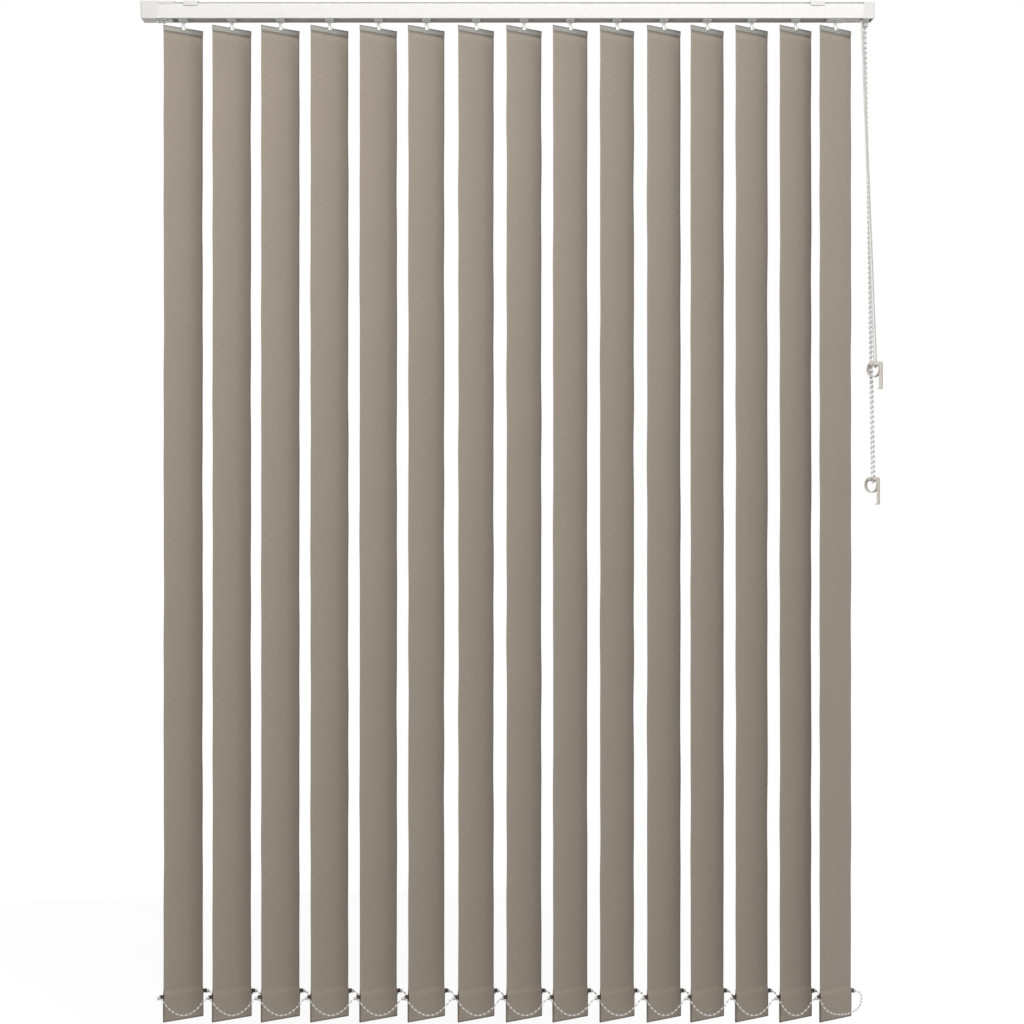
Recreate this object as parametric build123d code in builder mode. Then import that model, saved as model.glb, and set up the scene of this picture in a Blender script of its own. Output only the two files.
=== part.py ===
from build123d import *
from math import cos, pi, radians, sin, tan
import os

# A vertical blind: a ceiling-fixed headrail, fifteen cloth vanes on stems that turn and travel, a draw
# cord and a tilt chain at the right end, and two stabilising chains along the bottom.
# Millimetres. X runs along the rail, Y away from the room, Z up. The origin is on the ceiling,
# midway between the two bracket screws.

os.makedirs("parts", exist_ok=True)

# ---- Headrail: widths are set in from the rail's depth, heights up from its bottom ----
rail_overall = 1256.5
rail_depth = 46.0
rail_top = -1.9
rail_bottom = -30.0
rail_wall = 1.3
rail_corner = 0.8
shoulder_drop = 3.3
neck_inset = 5.0
flange_inset = 2.0
flange_thickness = 0.7
mouth_inset = 3.0
lip_thickness = 2.0
ledge_width = 6.0
ledge_thickness = 1.2
ledge_rise = 11.8
fit = 0.3
slack = 0.5

# ---- End units ----
control_cap_length = 17.8
control_body_length = 31.4
idler_cap_length = 28.7
idler_body_length = 23.5
end_body_inset = 7.8
cap_edge = 1.2
cap_floor_thickness = 2.0
cord_slot_height = 10.0
latch_length = 60.0
latch_overhang = 1.3
lug_size = 6.0
lug_drop = 1.0

# ---- Vanes: the spaces between neighbouring stems, from the left ----
vane_pitches = [83.5, 83.5, 84.5, 84, 82.5, 85.5, 82.5, 79.5, 80.5, 80.5, 74.5, 76.5, 75.5, 68.5]
first_stem_inset = 70.75
last_stem_inset = 64.25
vane_tilt = 47.5
vane_width = 89.0
cloth_thickness = 0.6
cloth_bottom = -1748.0
pocket_height = 50.4
pocket_thickness = 4.2

# ---- Hanger, stem and bottom weight ----
hanger_drop = 13.0
hanger_height = 8.6
hanger_thickness = 1.8
hanger_slot_depth = 4.6
hanger_slot_width = 0.9
window_width = 5.0
window_height = 2.2
window_drop = 2.1
stem_diameter = 4.6
stem_rise = 1.0
collar_reach = 1.3
collar_height = 5.0
yoke_width = 8.2
yoke_depth = 6.4
yoke_height = 6.4
yoke_rise = 2.0
yoke_corner = 2.4
yoke_edge = 1.2
wheel_diameter = 11.0
wheel_height = 6.0
wheel_teeth = 12
wheel_notch = 0.6
weight_thickness = 2.2
weight_inset = 3.0
weight_rise = 1.7
tab_rise = 47.4
tab_height = 6.8
tab_reach = 8.1
clip_reach = 11.5
clip_rise = 42.5
clip_root_height = 5.2
clip_outer = 5.6
clip_bore = 4.0
clip_length = 4.0

# ---- Carriers ----
carrier_length = 15.0
lead_length = 29.0
carrier_plate_thickness = 2.2
carrier_drop = 1.0
carrier_body_inset = 8.0
carrier_wall = 1.5
carrier_headroom = 2.7
carrier_corner = 1.2
boss_diameter = 8.0
roller_diameter = 8.0
roller_width = 4.5
roller_inset = 0.7
roller_play = 0.2
axle_diameter = 3.0

# ---- Tilt rod, worms and chain wheel ----
rod_rise = 15.0
rod_core = 4.0
rod_rib_reach = 2.6
rod_rib_width = 1.0
worm_diameter = 7.0
worm_length = 14.4
worm_groove_pitch = 2.4
worm_groove_width = 1.0
worm_groove_depth = 0.4
chain_wheel_inset = 5.55
chain_wheel_hub = 5.1
chain_wheel_flange = 7.4
chain_wheel_flange_width = 1.2

# ---- Draw cord and its pulleys ----
cord_diameter = 2.4
cord_drop = 1.0
front_strand_y = -11.5
rear_strand_y = -2.5
drop_inset = 3.85
drop_radius = 8.0
pulley_width = 4.0
pulley_bore = 4.6
pulley_axle = 4.0
pulley_flange = 0.6
idler_inset = 9.55
idler_pulley_flange = 0.8
idler_axle = 2.4

# ---- Tilt chain ----
bead_diameter = 4.5
chain_strand_offset = 8.0
chain_bend = 7.6
nozzle_outer = 9.0
nozzle_bore = 6.4
nozzle_length = 10.0

# ---- Safety tensioners ----
tensioner_twist = 26.6
ring_depth = 12.0
ring_gap = 9.0
band_thickness = 1.8
ring_width = 23.4
ring_height = 27.0
bar_depth = 5.0
bar_height = 47.5
bar_corner = 3.6
foot_reach = 3.0
foot_height = 2.0
cord_bar_width = 5.4
chain_bar_width = 4.2
cord_ring_top = -617.1
chain_ring_top = -815.0
cord_ring_overhang = 0.15
chain_ring_overhang = -0.75
cord_ring_y = -13.0
chain_ring_y = 9.5
cord_bight = 5.8
chain_bight = 6.15
bight_shift = 3.0

# ---- Stabilising chains ----
small_bead = 3.2
chain_sag = 28.8
clip_half_run = 4.0

# ---- Brackets: the screw hole is nearer the plate's right end ----
bracket_inset = 91.25
bracket_shift = 5.7
bracket_width = 26.0
bracket_plate = 1.6
bracket_hole = 5.0
bracket_tab_drop = 8.3
bracket_tab_thickness = 1.4
bracket_tab_chamfer = 3.0
bracket_rear_inset = 0.4
jaw_height = 1.4
jaw_gap = 0.2

# ---- Rail places worked out from the sizes above ----
rail_left = -rail_overall / 2 + idler_cap_length
rail_right = rail_overall / 2 - control_cap_length
cap_left = -rail_overall / 2
cap_right = rail_overall / 2
shoulder_z = rail_top - shoulder_drop
chamber_top = shoulder_z - rail_wall
lip_top = rail_bottom + lip_thickness
ledge_top = rail_bottom + ledge_rise
cap_floor = rail_bottom + cap_floor_thickness
neck_half = rail_depth / 2 - neck_inset
flange_half = rail_depth / 2 - flange_inset
mouth_half = rail_depth / 2 - mouth_inset
wall_inside = rail_depth / 2 - rail_wall
end_plate_half = mouth_half - slack
end_plate_top = lip_top + slack
body_half = rail_depth / 2 - end_body_inset

# ---- Drive places ----
rod_y = wheel_diameter / 2 + worm_diameter / 2 + slack
rod_z = rail_bottom + rod_rise
rod_running_bore = 2 * (rod_rib_reach + fit)
chain_wheel_x = rail_right + chain_wheel_inset
nozzle_bottom = rail_bottom - nozzle_length
cord_z = chamber_top - cord_drop
drop_x = rail_right - drop_inset
idler_x = rail_left + idler_inset
cord_ring_x = cap_right + cord_ring_overhang
chain_ring_x = cap_right + chain_ring_overhang

# ---- Carrier and vane places ----
stem_stretch = (rail_overall - first_stem_inset - last_stem_inset) / sum(vane_pitches)
stem_xs = [cap_left + first_stem_inset + stem_stretch * sum(vane_pitches[:i])
           for i in range(len(vane_pitches) + 1)]
along = Vector(cos(radians(vane_tilt)), sin(radians(vane_tilt)), 0)
across = Vector(-sin(radians(vane_tilt)), cos(radians(vane_tilt)), 0)
carrier_plate_half = mouth_half - 1.5 * slack
carrier_plate_bottom = rail_bottom - carrier_drop
carrier_body_half = rail_depth / 2 - carrier_body_inset
carrier_top = chamber_top - carrier_headroom
roller_inner_y = wall_inside - ledge_width + roller_inset
axle_z = ledge_top + roller_diameter / 2 + roller_play
axle_reach = wall_inside - slack
wheel_top = rod_z + wheel_height / 2
stem_top = wheel_top + stem_rise
hanger_top = rail_bottom - hanger_drop
window_z = hanger_top - window_drop
yoke_top = hanger_top + yoke_rise
yoke_bottom = yoke_top - yoke_height
weight_bottom = cloth_bottom + weight_rise
tab_top = cloth_bottom + tab_rise
clip_z = cloth_bottom + clip_rise
clip_radius = vane_width / 2 + clip_reach
clip_dx = clip_radius * along.X
clip_dy = clip_radius * along.Y


def span(low, high):
    """The middle of a stretch and its length."""
    return (low + high) / 2, high - low


def strip(x_low, x_high, y_low, y_high, mode=Mode.ADD):
    """A rectangle between two places each way, in the open sketch."""
    x, width = span(x_low, x_high)
    y, height = span(y_low, y_high)
    with Locations((x, y)):
        Rectangle(width, height, mode=mode)


def block(x_low, x_high, y_low, y_high, z_low, z_high, mode=Mode.ADD):
    """A box between two places each way, in the open part."""
    x, length = span(x_low, x_high)
    y, depth = span(y_low, y_high)
    z, height = span(z_low, z_high)
    with Locations((x, y, z)):
        Box(length, depth, height, mode=mode)


def rod_between(x_low, x_high, y, z, diameter, mode=Mode.ADD):
    """A round bar along X, in the open part."""
    x, length = span(x_low, x_high)
    with Locations((x, y, z)):
        Cylinder(diameter / 2, length, rotation=(0, 90, 0), mode=mode)


def pin_between(x, y_low, y_high, z, diameter, mode=Mode.ADD):
    """A round bar along Y, in the open part."""
    y, length = span(y_low, y_high)
    with Locations((x, y, z)):
        Cylinder(diameter / 2, length, rotation=(90, 0, 0), mode=mode)


def save(part, name):
    part.label = name
    export_step(part, f"parts/{name}.step")


# ---- Headrail: one extrusion, open below, with a ledge each side for the carrier rollers ----
with BuildPart() as headrail:
    with BuildSketch(Plane.YZ.offset(rail_left)):
        strip(-rail_depth / 2, rail_depth / 2, rail_bottom, shoulder_z)
        strip(-neck_half, neck_half, shoulder_z, rail_top)
        strip(-flange_half, flange_half, rail_top - flange_thickness, rail_top)
        neck_inside = neck_half - rail_wall
        strip(-neck_inside, neck_inside, chamber_top, rail_top - rail_wall, Mode.SUBTRACT)
        strip(-wall_inside, wall_inside, lip_top, chamber_top, Mode.SUBTRACT)
        strip(-mouth_half, mouth_half, rail_bottom, lip_top, Mode.SUBTRACT)
        for low in (-wall_inside, wall_inside - ledge_width):
            strip(low, low + ledge_width, ledge_top - ledge_thickness, ledge_top)
    extrude(amount=rail_right - rail_left)
    fillet(headrail.edges().filter_by(Axis.X).group_by(Axis.Z)[0].sort_by(Axis.Y)[0], rail_corner)
    fillet(headrail.edges().filter_by(Axis.X).group_by(Axis.Z)[0].sort_by(Axis.Y)[-1], rail_corner)
save(headrail.part, "headrail")

# ---- Control end: right cap, with the cord pulley housing inside the rail ----
pulley_x = drop_x - drop_radius
pulley_z = cord_z - drop_radius
pulley_groove = drop_radius - cord_diameter / 2 - fit / 3
pulley_rim = drop_radius + fit
body_left = rail_right - control_body_length
well_front = front_strand_y - pulley_width / 2 - fit
well_rear = rear_strand_y + pulley_width / 2 + fit
chain_reach = chain_strand_offset + bead_diameter / 2
rib_count = 6
rib_pitch = 3.2
rib_width = 1.4
rib_depth = 1.0
with BuildPart() as control_end:
    block(rail_right, cap_right, -rail_depth / 2, rail_depth / 2, rail_bottom, rail_top)
    chamfer(control_end.faces().sort_by(Axis.X)[-1].edges(), cap_edge)
    block(body_left, rail_right, -body_half, body_half, lip_top, chamber_top - fit)
    block(body_left, rail_right, -end_plate_half, end_plate_half, rail_bottom, end_plate_top)
    block(rail_right + rail_wall, cap_right - rail_wall, rod_y - chain_reach - fit,
          rod_y + chain_reach + fit, cap_floor, rail_top - rail_wall, Mode.SUBTRACT)
    block(pulley_x - pulley_rim - 2 * fit, drop_x + cord_diameter, well_front, well_rear,
          end_plate_top, chamber_top, Mode.SUBTRACT)
    block(body_left, pulley_x, front_strand_y - cord_diameter, rear_strand_y + cord_diameter,
          cord_z - cord_diameter, chamber_top, Mode.SUBTRACT)
    pin_between(pulley_x, well_front, well_rear, pulley_z, pulley_axle)
    block(drop_x - 1.2 * cord_diameter, rail_right - slack, -end_plate_half + fit,
          well_rear, rail_bottom, rail_bottom + cord_slot_height, Mode.SUBTRACT)
    rod_between(body_left, cap_right - 2 * rail_wall, rod_y, rod_z, rod_running_bore, Mode.SUBTRACT)
    for side in (-1, 1):
        with Locations((chain_wheel_x, rod_y + side * chain_strand_offset, nozzle_bottom)):
            Cylinder(nozzle_outer / 2, nozzle_length,
                     align=(Align.CENTER, Align.CENTER, Align.MIN))
    for side in (-1, 1):
        with Locations((chain_wheel_x, rod_y + side * chain_strand_offset, nozzle_bottom)):
            Cylinder(nozzle_bore / 2, cap_floor - nozzle_bottom,
                     align=(Align.CENTER, Align.CENTER, Align.MIN), mode=Mode.SUBTRACT)
    for rib in range(rib_count):
        rib_x = body_left + rib_pitch * (rib + 1)
        block(rib_x, rib_x + rib_width, -end_plate_half, end_plate_half,
              rail_bottom, rail_bottom + rib_depth, Mode.SUBTRACT)
    block(chain_wheel_x + nozzle_outer / 2 + cap_edge, cap_right - 2 * rail_wall,
          -wall_inside, rod_y + nozzle_outer / 2, rail_bottom, cap_floor, Mode.SUBTRACT)
save(control_end.part, "control_end")

# ---- Idler end: left cap, its latch plate and the seat of the idler pulley ----
idler_y = (front_strand_y + rear_strand_y) / 2
idler_turn = (rear_strand_y - front_strand_y) / 2
idler_seat = cord_z - cord_diameter / 2 - fit / 3 - idler_pulley_flange - fit
idler_right = rail_left + idler_body_length
latch_left = cap_left - latch_overhang
latch_right = latch_left + latch_length
latch_half = flange_half - fit
with BuildPart() as idler_end:
    block(cap_left, rail_left, -rail_depth / 2, rail_depth / 2, rail_bottom, rail_top)
    chamfer(idler_end.faces().sort_by(Axis.X)[0].edges(), cap_edge)
    block(rail_left, idler_right, -body_half, body_half, lip_top, idler_seat)
    block(rail_left, idler_right, -end_plate_half, end_plate_half, rail_bottom, end_plate_top)
    block(cap_left + 2 * cap_edge, rail_left, -body_half, body_half,
          idler_seat, rail_top - rail_wall, Mode.SUBTRACT)
    with Locations((idler_x, idler_y, idler_seat)):
        Cylinder(idler_axle / 2, chamber_top + cord_diameter - idler_seat,
                 align=(Align.CENTER, Align.CENTER, Align.MIN))
    rod_between(cap_left + 4 * cap_edge, idler_right, rod_y, rod_z, rod_running_bore, Mode.SUBTRACT)
    block(latch_left, latch_right, -rail_depth / 2, latch_half, rail_top + fit, 0)
    block(latch_left, latch_right, -rail_depth / 2, -flange_half - fit, shoulder_z + fit, 0)
    block(latch_left, cap_left + idler_cap_length / 2, -latch_half, latch_half, rail_top, 0)
    for lug_right in (idler_right - 3 * lug_size / 2, idler_right):
        block(lug_right - lug_size, lug_right, -end_plate_half, -end_plate_half + lug_size,
              rail_bottom - lug_drop, rail_bottom)
save(idler_end.part, "idler_end")

# ---- Ceiling brackets: a plate with a rear jaw, and a front jaw with its release tab ----
tab_front = -rail_depth / 2 - fit - bracket_tab_thickness
jaw_low = rail_top - flange_thickness - jaw_gap - jaw_height
jaw_inner = neck_half + fit
tab_inner = tab_front + bracket_tab_thickness
bracket_rear = rail_depth / 2 - bracket_rear_inset
with BuildPart() as mounting_brackets:
    for screw_x in (cap_left + bracket_inset, cap_right - bracket_inset):
        x_low = screw_x - bracket_shift - bracket_width / 2
        x_high = x_low + bracket_width
        block(x_low, x_high, tab_front, bracket_rear, -bracket_plate, 0)
        block(x_low, x_high, tab_front, tab_inner, -bracket_tab_drop, 0)
        block(x_low, x_high, tab_front, -jaw_inner, jaw_low, jaw_low + jaw_height)
        block(x_low, x_high, flange_half + fit, bracket_rear, jaw_low, 0)
        block(x_low, x_high, jaw_inner, bracket_rear, jaw_low, jaw_low + jaw_height)
        with Locations((screw_x, 0, -bracket_plate)):
            Cylinder(bracket_hole / 2, bracket_plate,
                     align=(Align.CENTER, Align.CENTER, Align.MIN), mode=Mode.SUBTRACT)
    tab_ends = mounting_brackets.edges().filter_by(Axis.Y).group_by(Axis.Z)[0]
    chamfer(tab_ends, bracket_tab_chamfer)
save(mounting_brackets.part, "mounting_brackets")

# ---- Tilt rod with the chain wheel on its right end ----
rod_left = rail_left + 4.0
rod_right = cap_right - 3 * rail_wall
hub_half = bead_diameter / 2 + fit
with BuildPart() as tilt_rod:
    with BuildSketch(Plane.YZ.offset(rod_left)):
        with Locations((rod_y, rod_z)):
            Circle(rod_core / 2)
            with PolarLocations(rod_rib_reach / 2, 3):
                Rectangle(rod_rib_reach, rod_rib_width)
    extrude(amount=rod_right - rod_left)
with BuildPart() as chain_wheel:
    rod_between(chain_wheel_x - hub_half, chain_wheel_x + hub_half, rod_y, rod_z, 2 * chain_wheel_hub)
    for low in (chain_wheel_x - hub_half - chain_wheel_flange_width, chain_wheel_x + hub_half):
        rod_between(low, low + chain_wheel_flange_width, rod_y, rod_z, 2 * chain_wheel_flange)
    rod_between(chain_wheel_x - 2 * hub_half, chain_wheel_x + 2 * hub_half, rod_y, rod_z,
                2 * rod_rib_reach + fit / 2, Mode.SUBTRACT)
save(Compound([tilt_rod.part.solid(), chain_wheel.part.solid()]), "tilt_rod")


# ---- Cord pulleys in the control end, and the idler pulley at the far end ----
def pulley_part(groove, rim, width, flange, bore, plane):
    """A grooved pulley, its axis along the plane's normal."""
    with BuildPart() as pulley:
        with BuildSketch(plane.offset(-width / 2)):
            Circle(rim)
            Circle(bore / 2, mode=Mode.SUBTRACT)
        extrude(amount=width)
        with BuildSketch(plane.offset(-width / 2 + flange)):
            Circle(rim)
            Circle(groove, mode=Mode.SUBTRACT)
        extrude(amount=width - 2 * flange, mode=Mode.SUBTRACT)
    return pulley.part


for name, strand_y in (("front_cord_pulley", front_strand_y), ("rear_cord_pulley", rear_strand_y)):
    pulley_plane = Plane(origin=(pulley_x, strand_y, pulley_z), x_dir=(1, 0, 0), z_dir=(0, 1, 0))
    save(pulley_part(pulley_groove, pulley_rim, pulley_width, pulley_flange, pulley_bore,
                     pulley_plane), name)
idler_plane = Plane(origin=(idler_x, idler_y, cord_z), x_dir=(1, 0, 0), z_dir=(0, 0, 1))
idler_groove = idler_turn - cord_diameter / 2 - fit / 3
idler_width = cord_diameter + 2 * fit / 3 + 2 * idler_pulley_flange
save(pulley_part(idler_groove, idler_turn + fit, idler_width, idler_pulley_flange,
                 idler_axle + 2 * fit, idler_plane), "idler_pulley")


# ---- Carriers ----
def carrier_part(stem_x, length, clamp):
    """A carrier: an open-topped housing, two rollers and the worm that the tilt rod turns."""
    half = length / 2
    body_side = carrier_body_half
    plate_top = carrier_plate_bottom + carrier_plate_thickness
    well_half = wheel_diameter / 2 + slack
    boss_top = wheel_top - wheel_height - fit
    axle_root = body_side - carrier_wall
    with BuildPart() as housing:
        block(stem_x - half, stem_x + half, -carrier_plate_half, carrier_plate_half,
              carrier_plate_bottom, plate_top)
        block(stem_x - half, stem_x + half, -body_side, body_side, plate_top, carrier_top)
        block(stem_x - well_half, stem_x + well_half, -axle_root, axle_root,
              plate_top + carrier_wall, carrier_top, Mode.SUBTRACT)
        with Locations((stem_x, 0, carrier_plate_bottom)):
            Cylinder(boss_diameter / 2, boss_top - carrier_plate_bottom,
                     align=(Align.CENTER, Align.CENTER, Align.MIN))
            Cylinder(stem_diameter / 2 + fit, boss_top - carrier_plate_bottom,
                     align=(Align.CENTER, Align.CENTER, Align.MIN), mode=Mode.SUBTRACT)
        rod_between(stem_x - half, stem_x + half, rod_y, rod_z, worm_diameter + 2 * fit, Mode.SUBTRACT)
        for side in (-1, 1):
            ends = sorted((side * axle_root, side * axle_reach))
            pin_between(stem_x, ends[0], ends[1], axle_z, axle_diameter)
        if clamp:
            clamp_side = cord_diameter
            block(stem_x - half, stem_x - well_half, front_strand_y - clamp_side,
                  front_strand_y + clamp_side, carrier_top, cord_z + clamp_side)
            rod_between(stem_x - half, stem_x + half, front_strand_y, cord_z,
                        cord_diameter + 2 * fit, Mode.SUBTRACT)
        fillet(housing.edges().filter_by(Axis.Z).group_by(Axis.Y)[0], carrier_corner)
        fillet(housing.edges().filter_by(Axis.Z).group_by(Axis.Y)[-1], carrier_corner)
    solids = [housing.part.solid()]
    for side in (-1, 1):
        ends = sorted((side * roller_inner_y, side * (roller_inner_y + roller_width)))
        with BuildPart() as roller:
            pin_between(stem_x, ends[0], ends[1], axle_z, roller_diameter)
            pin_between(stem_x, ends[0], ends[1], axle_z, axle_diameter + fit, Mode.SUBTRACT)
        solids.append(roller.part.solid())
    with BuildPart() as worm:
        rod_between(stem_x - worm_length / 2, stem_x + worm_length / 2, rod_y, rod_z, worm_diameter)
        for groove in (-1, 0, 1):
            groove_x = stem_x + groove * worm_groove_pitch - worm_groove_width / 2
            with BuildSketch(Plane.YZ.offset(groove_x)):
                with Locations((rod_y, rod_z)):
                    Circle(worm_diameter / 2)
                    Circle(worm_diameter / 2 - worm_groove_depth, mode=Mode.SUBTRACT)
            extrude(amount=worm_groove_width, mode=Mode.SUBTRACT)
        rod_between(stem_x - worm_length / 2, stem_x + worm_length / 2, rod_y, rod_z,
                    rod_running_bore, Mode.SUBTRACT)
    solids.append(worm.part.solid())
    return Compound(solids)


for number, stem_x in enumerate(stem_xs[:-1], 1):
    save(carrier_part(stem_x, carrier_length, False), f"carrier_{number:02d}")
save(carrier_part(stem_xs[-1], lead_length, True), "lead_carrier")


# ---- Vanes: cloth, and the stem, hanger, weight and clips that go with it ----
def level_plane(stem_x, height):
    """A level plane at a stem; its x direction runs along the vane, near edge to far edge."""
    return Plane(origin=(stem_x, 0, height), x_dir=along, z_dir=(0, 0, 1))


def section_plane(stem_x):
    """An upright plane across the vane at its stem: sketch x is thickness, sketch y is height."""
    return Plane(origin=(stem_x, 0, 0), x_dir=across, z_dir=along)


def cloth_part(stem_x):
    """A strip of cloth whose lower end is folded up and joined as a pocket."""
    cloth_top = hanger_top - hanger_height + hanger_slot_depth - fit
    pocket_top = cloth_bottom + pocket_height
    inner = pocket_thickness - 2 * cloth_thickness
    with BuildPart() as cloth:
        with BuildSketch(section_plane(stem_x)):
            strip(-cloth_thickness / 2, cloth_thickness / 2, pocket_top - cloth_thickness, cloth_top)
            with Locations((0, cloth_bottom + pocket_height / 2)):
                RectangleRounded(pocket_thickness, pocket_height, pocket_thickness * 0.49)
                RectangleRounded(inner, pocket_height - 2 * cloth_thickness, inner * 0.49,
                                 mode=Mode.SUBTRACT)
        extrude(amount=vane_width / 2, both=True)
    return cloth.part


def stem_part(stem_x):
    """A stem: worm wheel at the top, and a yoke below whose pin goes through the hanger."""
    slot = hanger_thickness + 2 * fit
    pin_width = window_width - 2 * fit
    pin_height = window_height - 2 * fit
    with BuildPart() as stem:
        with BuildSketch(level_plane(stem_x, yoke_top)):
            Circle(stem_diameter / 2)
        extrude(amount=stem_top - yoke_top)
        with BuildSketch(level_plane(stem_x, wheel_top - wheel_height)):
            Circle(wheel_diameter / 2)
            with PolarLocations(wheel_diameter / 2, wheel_teeth):
                Circle(wheel_notch, mode=Mode.SUBTRACT)
        extrude(amount=wheel_height)
        with Locations((stem_x, 0, carrier_plate_bottom - fit - collar_height / 2)):
            Cone(stem_diameter / 2, stem_diameter / 2 + collar_reach, collar_height)
        with BuildSketch(level_plane(stem_x, yoke_bottom)):
            RectangleRounded(yoke_width, yoke_depth, yoke_corner)
        extrude(amount=yoke_height)
        fillet(stem.faces().sort_by(Axis.Z)[0].edges(), yoke_edge)
        with BuildSketch(level_plane(stem_x, yoke_bottom)):
            Rectangle(yoke_width, slot)
        extrude(amount=hanger_top + fit - yoke_bottom, mode=Mode.SUBTRACT)
        with BuildSketch(level_plane(stem_x, window_z - pin_height / 2)):
            Rectangle(pin_width, slot)
        extrude(amount=pin_height)
    return stem.part


def hanger_part(stem_x):
    """A clear strip that holds the cloth's top edge in a slot and hangs on the stem's pin."""
    hanger_bottom = hanger_top - hanger_height
    with BuildPart() as hanger:
        with BuildSketch(section_plane(stem_x)):
            strip(-hanger_thickness / 2, hanger_thickness / 2, hanger_bottom, hanger_top)
            strip(-hanger_slot_width / 2, hanger_slot_width / 2, hanger_bottom,
                  hanger_bottom + hanger_slot_depth, Mode.SUBTRACT)
        extrude(amount=vane_width / 2, both=True)
        with BuildSketch(level_plane(stem_x, window_z - window_height / 2)):
            Rectangle(window_width, 2 * hanger_thickness)
        extrude(amount=window_height, mode=Mode.SUBTRACT)
    return hanger.part


def weight_part(stem_x):
    """A flat weight in the pocket, with a tab out of each side."""
    tab_bottom = tab_top - tab_height
    with BuildPart() as weight:
        with BuildSketch(level_plane(stem_x, weight_bottom)):
            Rectangle(vane_width - 2 * weight_inset, weight_thickness)
        extrude(amount=tab_top - weight_bottom)
        with BuildSketch(level_plane(stem_x, tab_bottom)):
            Rectangle(vane_width + 2 * tab_reach, weight_thickness)
        extrude(amount=tab_height)
    return weight.part


def clip_part(stem_x, side):
    """A clip on a tab's end, with an eye along the rail that holds the stabilising chain."""
    eye_x = stem_x + side * clip_dx
    eye_y = side * clip_dy
    tab_end = vane_width / 2 + tab_reach
    with BuildPart() as clip:
        with BuildSketch(level_plane(stem_x, clip_z - clip_root_height / 2)):
            with Locations((side * (tab_end + clip_radius) / 2, 0)):
                Rectangle(clip_radius - tab_end, weight_thickness)
        extrude(amount=clip_root_height)
        rod_between(eye_x - clip_length / 2, eye_x + clip_length / 2, eye_y, clip_z, clip_outer)
        rod_between(eye_x - clip_outer, eye_x + clip_outer, eye_y, clip_z, clip_bore, Mode.SUBTRACT)
    return clip.part


for number, stem_x in enumerate(stem_xs, 1):
    save(cloth_part(stem_x), f"cloth_vane_{number:02d}")
    pieces = [stem_part(stem_x), hanger_part(stem_x), weight_part(stem_x)]
    pieces += [clip_part(stem_x, side) for side in (-1, 1)]
    save(Compound([piece.solid() for piece in pieces]), f"vane_fittings_{number:02d}")


# ---- Tensioners: a round arm that hangs in a bight, a flat-band ring under it and a bar beside it ----
twist_out = Vector(cos(radians(tensioner_twist)), -sin(radians(tensioner_twist)), 0)
twist_back = Vector(sin(radians(tensioner_twist)), cos(radians(tensioner_twist)), 0)


def tensioner_part(ring_x, ring_y, ring_top, arm_radius, bar_width):
    """Sketch x runs out along the arm from the ring's middle, sketch y up from the ring's top."""
    middle = Vector(ring_x, ring_y, ring_top)
    front = Plane(origin=middle, x_dir=twist_out, z_dir=-twist_back)
    bar_left = ring_width / 2 - band_thickness
    bar_right = bar_left + bar_width
    arm_left = -ring_gap / 2 - band_thickness
    arm_plane = Plane(origin=middle + twist_out * arm_left - Vector(0, 0, arm_radius),
                      x_dir=twist_back, z_dir=twist_out)
    with BuildPart() as tensioner:
        with BuildSketch(front):
            with Locations((0, -ring_height / 2)):
                Ellipse(ring_width / 2, ring_height / 2)
                Ellipse(ring_width / 2 - band_thickness, ring_height / 2 - band_thickness,
                        mode=Mode.SUBTRACT)
            strip(-ring_gap / 2, ring_width / 2, -2 * arm_radius - fit, fit, Mode.SUBTRACT)
        extrude(amount=ring_depth / 2, both=True)
        with BuildSketch(arm_plane):
            Circle(arm_radius)
        extrude(amount=bar_left - arm_left + slack)
        with BuildSketch(front):
            strip(bar_left, bar_right - bar_corner, -bar_height, 0)
            strip(bar_left, bar_right, -bar_height, -bar_corner)
            with Locations((bar_right - bar_corner, -bar_corner)):
                Circle(bar_corner)
            strip(bar_left - foot_reach, bar_left, -bar_height, foot_height - bar_height)
        extrude(amount=bar_depth / 2, both=True)
    return tensioner.part


cord_arm = cord_bight - cord_diameter / 2 - fit
chain_arm = chain_bight - bead_diameter / 2 - fit
save(tensioner_part(cord_ring_x, cord_ring_y, cord_ring_top, cord_arm, cord_bar_width),
     "cord_tensioner")
save(tensioner_part(chain_ring_x, chain_ring_y, chain_ring_top, chain_arm, chain_bar_width),
     "chain_tensioner")


def bight_points(ring_x, ring_y, ring_top, arm, half):
    """The two corners of a bight that passes under a tensioner's arm, front then rear."""
    low = Vector(ring_x, ring_y, ring_top - arm - half) + twist_out * bight_shift
    return [tuple(low - twist_back * half), tuple(low + twist_back * half)]


# ---- Cords and chains: tubes along straight runs joined by tangent arcs ----
def corner_radii(points, fixed):
    """For each corner, 0.45 of the shorter run over the tangent of half the turn, or its fixed radius."""
    radii = []
    for i in range(1, len(points) - 1):
        before = Vector(*points[i]) - Vector(*points[i - 1])
        after = Vector(*points[i + 1]) - Vector(*points[i])
        turn = radians(before.get_angle(after))
        radius = 0.45 * min(before.length, after.length) / tan(turn / 2)
        radii.append(fixed.get(i, radius))
    return radii


def tube_part(name, points, diameter, fixed):
    """A round tube along the points, printing its radii and its volume against section times length."""
    radii = corner_radii(points, fixed)
    with BuildPart() as tube:
        with BuildLine() as path:
            FilletPolyline(*points, radius=radii)
        start = path.wires()[0]
        with BuildSketch(Plane(origin=start @ 0, z_dir=start % 0)):
            Circle(diameter / 2)
        sweep()
    expected = pi * diameter ** 2 / 4 * start.length
    print(f"{name}: length {start.length:.1f}, radii {[round(r, 1) for r in radii]}")
    print(f"{name}: volume {tube.part.volume:.1f}, section times length {expected:.1f}")
    return tube.part


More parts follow.
